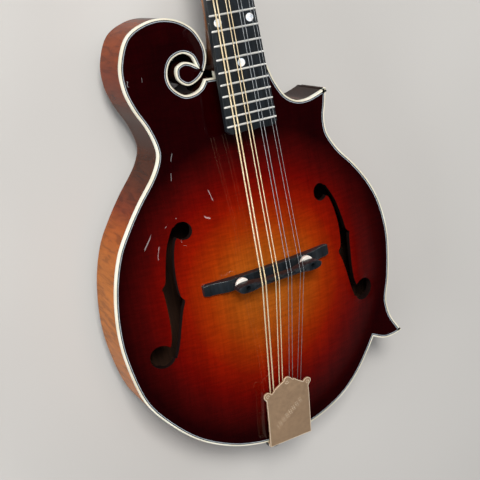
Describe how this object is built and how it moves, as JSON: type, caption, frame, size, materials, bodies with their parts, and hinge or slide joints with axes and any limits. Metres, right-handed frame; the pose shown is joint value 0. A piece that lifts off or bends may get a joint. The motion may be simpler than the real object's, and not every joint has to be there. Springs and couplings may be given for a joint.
{
  "type": "mandolin",
  "caption": "Carved-top mandolin with a body scroll, two body points, f-holes, an adjustable floating bridge, geared tuners, paired strings and a slide-off tailpiece cover.",
  "frame": {"origin": "middle of the instrument's box, at its lowest point, lying on its back", "axes": "+X to the treble side, +Y towards the headstock, +Z out of the top plate"},
  "size_m": [0.2428, 0.6627, 0.0973],
  "materials": {
    "spruce_top": "high-gloss sunburst lacquer over fine straight-grained spruce",
    "maple_back": "high-gloss sunburst lacquer over figured maple",
    "maple_ribs": "high-gloss amber to dark brown lacquer over figured maple",
    "maple_neck": "satin brown lacquer over maple",
    "inner_wood": "bare wood",
    "bar_spruce": "bare spruce",
    "binding": "glossy cream with a black and white purfling line",
    "ebony": "satin ebony",
    "black_veneer": "high-gloss black lacquer",
    "black_plate": "glossy black",
    "pearl": "polished shell",
    "bone": "polished bone",
    "fret_wire": "polished nickel silver",
    "nickel": "polished nickel plate",
    "steel": "plain steel",
    "brass": "plain brass",
    "bronze": "polished bronze-toned plate",
    "bronze_satin": "satin bronze-toned plate, polished at its raised edges",
    "wound_string": "phosphor bronze winding",
    "plain_string": "polished plain steel wire"
  },
  "bodies": {
    "instrument": {"top_plate": "spruce_top", "back_plate": "maple_back", "rib_bass": "maple_ribs", "rib_treble": "maple_ribs", "top_binding": "binding", "top_lining": "inner_wood", "back_lining": "inner_wood", "head_block": "inner_wood", "tail_block": "inner_wood", "point_blocks": "inner_wood", "tone_bars": "bar_spruce", "neck": "maple_neck", "heel_cap": "ebony", "truss_rod": "steel", "fingerboard": "ebony", "frets": "fret_wire", "fret_markers": "pearl", "nut": "bone", "headstock_face": "black_veneer", "truss_cover": "black_plate", "truss_cover_screws": "bronze", "tuner_bushings": "nickel", "tuner_plate_bass": "nickel", "tuner_plate_treble": "nickel", "tuner_plate_screws": "nickel", "bridge_base": "ebony", "bridge_posts": "nickel", "tailpiece_base": "bronze", "tailpiece_screws": "nickel", "end_button": "black_plate", "strings_g": "wound_string", "strings_d": "wound_string", "strings_a": "plain_string", "strings_e": "plain_string"},
    "truss_nut": {"truss_nut": "brass"},
    "tuner_key_1": {"tuner_key_1": "nickel"},
    "tuner_key_2": {"tuner_key_2": "nickel"},
    "tuner_key_3": {"tuner_key_3": "nickel"},
    "tuner_key_4": {"tuner_key_4": "nickel"},
    "tuner_key_5": {"tuner_key_5": "nickel"},
    "tuner_key_6": {"tuner_key_6": "nickel"},
    "tuner_key_7": {"tuner_key_7": "nickel"},
    "tuner_key_8": {"tuner_key_8": "nickel"},
    "tuner_post_1": {"tuner_post_1": "nickel"},
    "tuner_post_2": {"tuner_post_2": "nickel"},
    "tuner_post_3": {"tuner_post_3": "nickel"},
    "tuner_post_4": {"tuner_post_4": "nickel"},
    "tuner_post_5": {"tuner_post_5": "nickel"},
    "tuner_post_6": {"tuner_post_6": "nickel"},
    "tuner_post_7": {"tuner_post_7": "nickel"},
    "tuner_post_8": {"tuner_post_8": "nickel"},
    "bridge_saddle": {"bridge_saddle": "ebony"},
    "thumbwheel_bass": {"thumbwheel_bass": "nickel"},
    "thumbwheel_treble": {"thumbwheel_treble": "nickel"},
    "tailpiece_cover": {"tailpiece_cover": "bronze_satin"}
  },
  "joints": [
    {"name": "key_1_turn", "type": "hinge", "parent": "instrument", "child": "tuner_key_1", "pos_m": [-0.02507, 0.22929, 0.02744], "axis": [-1, 0, 0], "continuous": true},
    {"name": "post_1_turn", "type": "hinge", "parent": "instrument", "child": "tuner_post_1", "pos_m": [-0.02507, 0.22656, 0.04713], "axis": [0, 0.3074, 0.9516], "continuous": true},
    {"name": "key_2_turn", "type": "hinge", "parent": "instrument", "child": "tuner_key_2", "pos_m": [-0.02507, 0.25118, 0.02037], "axis": [-1, 0, 0], "continuous": true},
    {"name": "post_2_turn", "type": "hinge", "parent": "instrument", "child": "tuner_post_2", "pos_m": [-0.02507, 0.24845, 0.04006], "axis": [0, 0.3074, 0.9516], "continuous": true},
    {"name": "key_3_turn", "type": "hinge", "parent": "instrument", "child": "tuner_key_3", "pos_m": [-0.02507, 0.27307, 0.0133], "axis": [-1, 0, 0], "continuous": true},
    {"name": "post_3_turn", "type": "hinge", "parent": "instrument", "child": "tuner_post_3", "pos_m": [-0.02507, 0.27034, 0.03299], "axis": [0, 0.3074, 0.9516], "continuous": true},
    {"name": "key_4_turn", "type": "hinge", "parent": "instrument", "child": "tuner_key_4", "pos_m": [-0.02507, 0.29496, 0.00623], "axis": [-1, 0, 0], "continuous": true},
    {"name": "post_4_turn", "type": "hinge", "parent": "instrument", "child": "tuner_post_4", "pos_m": [-0.02507, 0.29223, 0.02592], "axis": [0, 0.3074, 0.9516], "continuous": true},
    {"name": "key_5_turn", "type": "hinge", "parent": "instrument", "child": "tuner_key_5", "pos_m": [0.01793, 0.22929, 0.02744], "axis": [1, 0, 0], "continuous": true},
    {"name": "post_5_turn", "type": "hinge", "parent": "instrument", "child": "tuner_post_5", "pos_m": [0.01793, 0.22656, 0.04713], "axis": [0, 0.3074, 0.9516], "continuous": true},
    {"name": "key_6_turn", "type": "hinge", "parent": "instrument", "child": "tuner_key_6", "pos_m": [0.01793, 0.25118, 0.02037], "axis": [1, 0, 0], "continuous": true},
    {"name": "post_6_turn", "type": "hinge", "parent": "instrument", "child": "tuner_post_6", "pos_m": [0.01793, 0.24845, 0.04006], "axis": [0, 0.3074, 0.9516], "continuous": true},
    {"name": "key_7_turn", "type": "hinge", "parent": "instrument", "child": "tuner_key_7", "pos_m": [0.01793, 0.27307, 0.0133], "axis": [1, 0, 0], "continuous": true},
    {"name": "post_7_turn", "type": "hinge", "parent": "instrument", "child": "tuner_post_7", "pos_m": [0.01793, 0.27034, 0.03299], "axis": [0, 0.3074, 0.9516], "continuous": true},
    {"name": "key_8_turn", "type": "hinge", "parent": "instrument", "child": "tuner_key_8", "pos_m": [0.01793, 0.29496, 0.00623], "axis": [1, 0, 0], "continuous": true},
    {"name": "post_8_turn", "type": "hinge", "parent": "instrument", "child": "tuner_post_8", "pos_m": [0.01793, 0.29223, 0.02592], "axis": [0, 0.3074, 0.9516], "continuous": true},
    {"name": "saddle_slide", "type": "slide", "parent": "instrument", "child": "bridge_saddle", "axis": [0, 0, 1], "range_m": [-0.0015, 0.003], "deforming": ["strings_g", "strings_d", "strings_a", "strings_e"]},
    {"name": "thumbwheel_bass_turn", "type": "hinge", "parent": "bridge_saddle", "child": "thumbwheel_bass", "pos_m": [-0.03046, -0.16866, 0.08392], "axis": [0, 0, 1], "range_deg": [-677, 1352]},
    {"name": "thumbwheel_treble_turn", "type": "hinge", "parent": "bridge_saddle", "child": "thumbwheel_treble", "pos_m": [0.02452, -0.16722, 0.08392], "axis": [0, 0, 1], "range_deg": [-677, 1352]},
    {"name": "cover_slide", "type": "slide", "parent": "instrument", "child": "tailpiece_cover", "axis": [0, -0.991, -0.134], "range_m": [0, 0.05]},
    {"name": "truss_nut_turn", "type": "hinge", "parent": "instrument", "child": "truss_nut", "pos_m": [-0.00357, 0.19664, 0.0502], "axis": [0, 0.9963, -0.0854], "range_deg": [-180, 180]}
  ],
  "couplings": [
    {"joint": "post_1_turn", "follows": "key_1_turn", "ratio": -0.0625},
    {"joint": "post_2_turn", "follows": "key_2_turn", "ratio": -0.0625},
    {"joint": "post_3_turn", "follows": "key_3_turn", "ratio": -0.0625},
    {"joint": "post_4_turn", "follows": "key_4_turn", "ratio": -0.0625},
    {"joint": "post_5_turn", "follows": "key_5_turn", "ratio": 0.0625},
    {"joint": "post_6_turn", "follows": "key_6_turn", "ratio": 0.0625},
    {"joint": "post_7_turn", "follows": "key_7_turn", "ratio": 0.0625},
    {"joint": "post_8_turn", "follows": "key_8_turn", "ratio": 0.0625},
    {"joint": "thumbwheel_bass_turn", "follows": "saddle_slide", "rad_per_m": 7854},
    {"joint": "thumbwheel_treble_turn", "follows": "saddle_slide", "rad_per_m": 7854}
  ]
}
